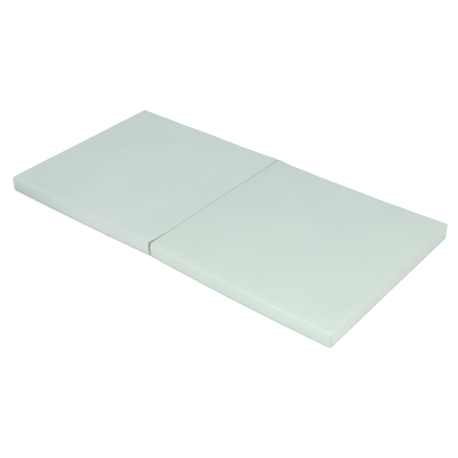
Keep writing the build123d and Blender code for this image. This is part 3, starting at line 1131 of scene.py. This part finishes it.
def metal_material():
    """Grey enamel on die-cast zinc, worn through to the metal on its high spots."""
    material, tree, place = new_material("enamelled_zip_metal")
    chips = noise(tree, place, 1.6 * MM, 5, 0.65)
    tone = noise(tree, place, 6 * MM)
    proud = spread(tree, node(tree, "NewGeometry").outputs["Pointiness"], 0.53, 0.64)
    chipped = spread(tree, chips, 0.35, 0.75, -0.7, 0.3)
    bare = spread(tree, plus(tree, proud, chipped), 0.30, 0.55)
    return plug(
        material,
        Base_Color=mix(tree, bare, two_tone(tree, tone, PAINT_TONES), BARE_METAL),
        Metallic=bare,
        Roughness=spread(tree, plus(tree, bare, times(tree, tone, 0.3)), 0.0, 1.2, 0.30, 0.42),
        Normal=bump(tree, chips, 0.04 * MM, 0.35),
    )


def thread_material():
    """Twisted polyester sewing thread."""
    material, tree, place = new_material("sewing_thread")
    x, _, z = axes(tree, place)
    strands = ribs(tree, plus(tree, x, times(tree, z, 1.4)), THREAD_TWIST)
    colour = two_tone(tree, noise(tree, place, 10 * MM), THREAD_TONES, 0.3, 0.7)
    return plug(
        material,
        # painted shade in the grooves between the strands
        Base_Color=mix(tree, spread(tree, strands, 0, 0.5, 0.3, 0.0), colour, THREAD_GROOVE_SHADE),
        Roughness=spread(tree, strands, 0, 1, 0.6, 0.45),
        Normal=bump(tree, strands, 0.06 * MM, 0.8),
        Sheen_Weight=0.15,
    )


def floor_material():
    material, tree, place = new_material("pale_floor")
    colour = two_tone(tree, noise(tree, place, 0.6, 2), FLOOR_TONES, 0.3, 0.7)
    return plug(material, Base_Color=colour, Roughness=0.9, Specular_IOR_Level=0.1)


# ------------ stage, light and camera

FLOOR_HALF = 40.0
KEY_PLACE, KEY_TARGET = Vector((1.3, -1.4, 1.75)), Vector((0.3, -0.15, 0))
KEY_SIZE, KEY_POWER, KEY_COLOUR = 1.3, 37, (1.0, 0.945, 0.83)
CAMERA_ANGLES = (39.81, 34.24, -0.94)  # azimuth, elevation and roll, in degrees
CAMERA_LENS = 64.1
CAMERA_PLACE = (0.026, -0.042, 2.065)  # right, up and back, in lengths of the mattress


def build_stage():
    corners = [(x * FLOOR_HALF, y * FLOOR_HALF, 0) for x, y in ((-1, -1), (1, -1), (1, 1), (-1, 1))]
    floor = new_object("floor", corners, [(0, 1, 2, 3)])
    floor.data.materials.append(floor_material())


def build_light():
    """A white studio all round, and a large warm light on the side that the camera is on."""
    world = bpy.data.worlds.new("studio")
    bpy.context.scene.world = world
    world.use_nodes = True
    backdrop = world.node_tree.nodes["Background"]
    backdrop.inputs["Color"].default_value = (1.0, 1.0, 1.0, 1)
    backdrop.inputs["Strength"].default_value = 1.0
    key = bpy.data.lights.new("key", "AREA")
    key.shape = "SQUARE"
    key.size, key.energy, key.color = KEY_SIZE, KEY_POWER, KEY_COLOUR
    light = bpy.data.objects.new("key", key)
    bpy.context.scene.collection.objects.link(light)
    light.location = KEY_PLACE
    light.rotation_euler = (KEY_TARGET - KEY_PLACE).to_track_quat("-Z", "Y").to_euler()
    bpy.context.scene.view_settings.view_transform = "Standard"
    bpy.context.scene.view_settings.look = "None"


def build_camera():
    """The camera looks down at the long front side and the +X end."""
    azimuth, elevation, rolled = (math.radians(v) for v in CAMERA_ANGLES)
    level_back = Vector((math.sin(azimuth), -math.cos(azimuth), 0))
    back = level_back * math.cos(elevation) + Vector((0, 0, math.sin(elevation)))
    right = Vector((math.cos(azimuth), math.sin(azimuth), 0))
    up = back.cross(right)
    tilted = (
        math.cos(rolled) * right + math.sin(rolled) * up,
        -math.sin(rolled) * right + math.cos(rolled) * up,
        back,
    )
    data = bpy.data.cameras.new("camera")
    data.lens = CAMERA_LENS
    data.clip_end = 100
    camera = bpy.data.objects.new("camera", data)
    bpy.context.scene.collection.objects.link(camera)
    offset = sum((share * axis for share, axis in zip(CAMERA_PLACE, tilted)), Vector())
    place = (cad_high[0] - cad_low[0]) * offset
    camera.matrix_world = Matrix.Translation(place) @ Matrix(tilted).transposed().to_4x4()
    bpy.context.scene.camera = camera


# ------------ the scene

BROKEN_EDGES = {"zip_end_stops": 0.15 * MM, "zip_slider": 0.3 * MM, "zip_pull_tab": 0.2 * MM}


def finish_metal(material):
    """Keeps the small CAD metal parts, with broken edges and enamel."""
    for panel in PANELS:
        for part, width in BROKEN_EDGES.items():
            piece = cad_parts[f"{panel}_{part}"]
            piece.data.materials.clear()
            piece.data.materials.append(material)
            edges = piece.modifiers.new("broken_edges", "BEVEL")
            edges.width = width
            edges.segments = 3
            edges.limit_method = "ANGLE"
            edges.angle_limit = math.radians(40)


def main():
    build_stage()
    build_light()
    build_camera()
    cover, foam, tape, coil = cover_material(), foam_material(), tape_material(), coil_material()
    thread, metal = thread_material(), metal_material()
    for panel in PANELS:
        build_covers(panel, cover)
        build_foam(panel, foam)
        for half in ("upper", "lower"):
            build_tape(panel, half, tape)
            build_coil(panel, half, coil)
            build_stitches(panel, half, thread)
    build_hinge_strip(strip_material())
    finish_metal(metal)


main()
